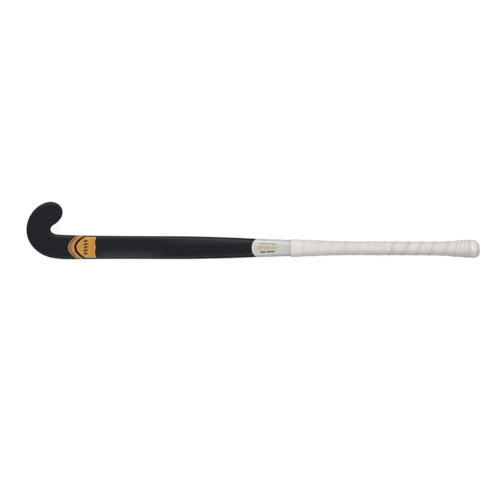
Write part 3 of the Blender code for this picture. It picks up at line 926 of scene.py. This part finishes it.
def silver_label():
    base = (0.620, 0.620, 0.610)
    made = Finish("silver_grey_film", base, 0.52, 0.05, 0.3)
    flake = made.add("ShaderNodeTexVoronoi")
    flake.inputs["Scale"].default_value = 1500
    made.link(made.place, flake.inputs["Vector"])
    tone = made.ramp(flake.outputs["Distance"], ((0.0, shade(base, 1.08)), (0.8, shade(base, 0.90))))
    cloud = made.ramp(made.noise(45, 3), ((0.35, (0.93, 0.94, 0.95)), (0.65, (1.04, 1.03, 1.0))))
    tone = made.mix(1.0, tone, cloud, "MULTIPLY")
    # Painted shade: the label is painted darker over its last few millimetres, next to the band's
    # edge.
    band_edge_shade = made.ramp(made.mark("share"), (
        (0.90, (1.0, 1.0, 1.0)), (0.955, (0.93, 0.92, 0.91)), (0.99, (0.79, 0.765, 0.755)),
    ))
    made.colour(made.mix(1.0, tone, band_edge_shade, "MULTIPLY"))
    made.roughness(made.spread(made.noise(200), 0.36, 0.50))
    made.bump(made.noise(900, 2), 0.00002)
    return made.material


def grip_leather():
    """Soft off-white tape: fine pores, stretch wrinkles with painted shade in their folds, dirt and
    painted shade at its edges.
    """
    base = (0.775, 0.735, 0.700)
    made = Finish("off_white_grip", base, 0.68, 0.0, 0.3)
    cloud = made.ramp(made.noise(28, 4), ((0.30, (0.92, 0.91, 0.90)), (0.70, (1.0, 1.0, 1.0))))
    grain = made.ramp(made.noise(1300, 3), ((0.35, shade(base, 0.95)), (0.65, shade(base, 1.03))))
    tone = made.mix(1.0, grain, cloud, "MULTIPLY")

    strip = made.add("ShaderNodeCombineXYZ")
    made.link(made.mark("across"), strip.inputs["X"])
    made.link(made.mark("along"), strip.inputs["Y"])
    stretch = made.add("ShaderNodeMapping")
    stretch.inputs["Scale"].default_value = (420.0, 28.0, 1.0)
    made.link(strip.outputs["Vector"], stretch.inputs["Vector"])
    wrinkle = made.noise(1.0, 2, 0.5, stretch.outputs["Vector"])
    # Painted shade: the wrinkles' folds are painted darker, as much as the mark says.
    fold_shade = made.ramp(wrinkle, ((0.34, (0.82, 0.82, 0.82)), (0.50, (1.0, 1.0, 1.0))))
    tone = made.mix(made.mark("crease_shade"), tone, made.mix(1.0, tone, fold_shade, "MULTIPLY"))
    # Dirt and painted shade: the tape is painted darker where this mark is set.
    made.colour(made.mix(made.mark("dirt_and_shade"), tone, shade(base, 0.40)))
    made.roughness(made.spread(made.noise(300), 0.60, 0.78))
    made.bump(made.noise(1500, 3), 0.00005, 0.6)
    made.bump(wrinkle, 0.0004, 0.9)
    return made.material


def band_cloth():
    base = (0.770, 0.738, 0.708)
    made = Finish("off_white_finishing_tape", base, 0.62, 0.0, 0.35)
    weave = made.add("ShaderNodeTexWave", wave_type="BANDS", bands_direction="X")
    weave.inputs["Scale"].default_value = 420
    weave.inputs["Distortion"].default_value = 0.6
    made.link(made.place, weave.inputs["Vector"])
    tone = made.ramp(made.noise(40, 3), ((0.3, shade(base, 0.95)), (0.7, shade(base, 1.02))))
    white = (1.0, 1.0, 1.0)
    threads = made.ramp(weave.outputs["Fac"], ((0.0, shade(white, 0.965)), (1.0, white)))
    made.colour(made.mix(1.0, tone, threads, "MULTIPLY"))
    made.roughness(made.spread(made.noise(300), 0.55, 0.70))
    made.bump(weave.outputs["Fac"], 0.00004, 0.6)
    return made.material


def cap_rubber():
    base = (0.815, 0.773, 0.734)
    made = Finish("off_white_rubber", base, 0.55, 0.0, 0.4)
    made.colour(made.ramp(made.noise(110, 4), ((0.34, shade(base, 0.90)), (0.60, shade(base, 1.03)))))
    made.roughness(made.spread(made.noise(250), 0.48, 0.66))
    made.bump(made.noise(1100, 3), 0.00004)
    return made.material


def woven(name, dark, light, pitch):
    """Two sets of crossing threads."""
    made = Finish(name, light, 0.45)
    checks = made.add("ShaderNodeTexChecker")
    checks.inputs["Scale"].default_value = 1 / pitch
    checks.inputs["Color1"].default_value = (*dark, 1.0)
    checks.inputs["Color2"].default_value = (*light, 1.0)
    made.link(made.place, checks.inputs["Vector"])
    made.colour(checks.outputs["Color"])
    made.roughness(made.spread(made.noise(400), 0.35, 0.60))
    made.bump(checks.outputs["Fac"], 0.00008)
    return made.material


def foam(name, base, cells):
    made = Finish(name, base, 0.92)
    cell = made.add("ShaderNodeTexVoronoi")
    cell.inputs["Scale"].default_value = cells
    made.link(made.place, cell.inputs["Vector"])
    tone = made.ramp(cell.outputs["Distance"], ((0.0, shade(base, 0.75)), (0.6, shade(base, 1.1))))
    made.colour(tone)
    made.bump(cell.outputs["Distance"], 0.0002)
    return made.material


def moulded(name, base):
    made = Finish(name, base, 0.5)
    made.colour(made.ramp(made.noise(300, 3), ((0.3, shade(base, 0.85)), (0.7, shade(base, 1.15)))))
    made.bump(made.noise(900, 2), 0.00004)
    return made.material


def finish_inner_nodes():
    carbon = woven("braided_carbon", (0.012, 0.012, 0.014), (0.045, 0.045, 0.048), 0.0022)
    aramid = woven("aramid_weave", (0.42, 0.30, 0.06), (0.66, 0.50, 0.13), 0.0018)
    soft = foam("soft_grey_foam", (0.16, 0.17, 0.19), 1400)
    finishes = {
        "head_core": foam("rigid_core_foam", (0.70, 0.62, 0.42), 900),
        "face_ply": aramid,
        "inner_tube_toe_side": carbon,
        "inner_tube_heel_side": carbon,
        "handle_foam_toe_side": soft,
        "handle_foam_heel_side": soft,
        "cushion_sleeve": soft,
        "butt_plug": moulded("black_moulded_plastic", (0.05, 0.05, 0.055)),
    }
    for node, finish in finishes.items():
        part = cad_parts[node]
        part.data.materials.clear()
        part.data.materials.append(finish)


# Studio


def soft_light(name, place, target, size, power):
    data = bpy.data.lights.new(name, "AREA")
    data.shape = "RECTANGLE"
    data.size, data.size_y = size
    data.energy = power
    light = bpy.data.objects.new(name, data)
    bpy.context.scene.collection.objects.link(light)
    light.location = place
    light.rotation_euler = (Vector(target) - Vector(place)).to_track_quat("-Z", "Y").to_euler()
    light.visible_camera = False


def make_world():
    """A studio with pale walls, a dim ceiling and a dark lower half, which the floor hides."""
    world = bpy.data.worlds.new("studio")
    bpy.context.scene.world = world
    world.use_nodes = True
    tree = world.node_tree
    background = tree.nodes["Background"]
    coordinate = tree.nodes.new("ShaderNodeTexCoord")
    split = tree.nodes.new("ShaderNodeSeparateXYZ")
    ramp = tree.nodes.new("ShaderNodeValToRGB")
    tree.links.new(coordinate.outputs["Generated"], split.inputs["Vector"])
    tree.links.new(split.outputs["Z"], ramp.inputs["Fac"])
    tree.links.new(ramp.outputs["Color"], background.inputs["Color"])
    marks = ramp.color_ramp.elements
    for position, _ in WALLS[2:]:
        marks.new(position)
    for mark, (position, level) in zip(marks, WALLS):
        mark.position = position
        mark.color = (level, level, level, 1.0)
    background.inputs["Strength"].default_value = 1.0


def make_floor():
    """A pale floor that curves up into a backdrop all round, for the camera alone to see."""
    turn = full_round(FLOOR_COLUMNS) * pi
    points = [
        (radius * np.cos(a), radius * np.sin(a), height) for radius, height in BACKDROP for a in turn
    ]
    made = Finish("pale_floor", FLOOR_COLOUR, 0.9, 0.0, 0.0)
    made.shader.inputs["Emission Color"].default_value = (1.0, 1.0, 1.0, 1.0)
    made.shader.inputs["Emission Strength"].default_value = FLOOR_GLOW
    data = bpy.data.meshes.new("studio_floor")
    faces = [tuple(range(FLOOR_COLUMNS))]
    for i in range(len(BACKDROP) - 1):
        one, other = FLOOR_COLUMNS * i, FLOOR_COLUMNS * (i + 1)
        for k in range(FLOOR_COLUMNS):
            after = (k + 1) % FLOOR_COLUMNS
            faces.append((one + k, other + k, other + after, one + after))
    data.from_pydata(points, [], faces)
    data.shade_smooth()
    data.materials.append(made.material)
    floor = bpy.data.objects.new("studio_floor", data)
    bpy.context.scene.collection.objects.link(floor)
    floor.visible_glossy = False
    floor.visible_diffuse = False
    floor.visible_shadow = False


def make_lights():
    for softbox in SOFTBOXES:
        soft_light(*softbox)


def make_camera():
    """Straight above the stick, with the head on the left."""
    data = bpy.data.cameras.new("camera")
    data.lens = CAMERA_LENS
    data.sensor_width = SENSOR
    camera = bpy.data.objects.new("camera", data)
    bpy.context.scene.collection.objects.link(camera)
    distance = VIEW_WIDTH * CAMERA_LENS / SENSOR
    camera.location = (*VIEW_CENTRE, VIEW_HEIGHT + distance)
    camera.rotation_euler = (0, 0, CAMERA_ROLL)
    bpy.context.scene.camera = camera


bpy.context.scene.view_settings.view_transform = "Standard"
make_world()
make_floor()
make_lights()
make_camera()

make_body(lacquer_black())
make_crescent(
    crescent_orange(),
    plain_film("tan_print", (0.42, 0.27, 0.13), 0.42),
    plain_film("light_grey_edge_stripe", (0.52, 0.52, 0.50), 0.42),
)
make_shield(
    shield_orange("orange_pearl_print", (0.97, 1.05, 0.90)),
    plain_film("light_orange_print", (0.72, 0.42, 0.15), 0.42),
    plain_film("dark_brown_print", (0.040, 0.018, 0.010), 0.45),
    plain_film("black_print", (0.004, 0.003, 0.003), 0.45, specular=0.1),
)
make_label(
    silver_label(),
    plain_film("bright_silver_print", (0.74, 0.74, 0.72), 0.40),
    plain_film("grey_print", (0.20, 0.20, 0.21), 0.45),
    plain_film("gold_print", (0.60, 0.40, 0.19), 0.42),
    plain_film("charcoal_print", (0.05, 0.05, 0.055), 0.45),
)
make_cap(cap_rubber())
make_grip(grip_leather())
make_band(band_cloth())
finish_inner_nodes()
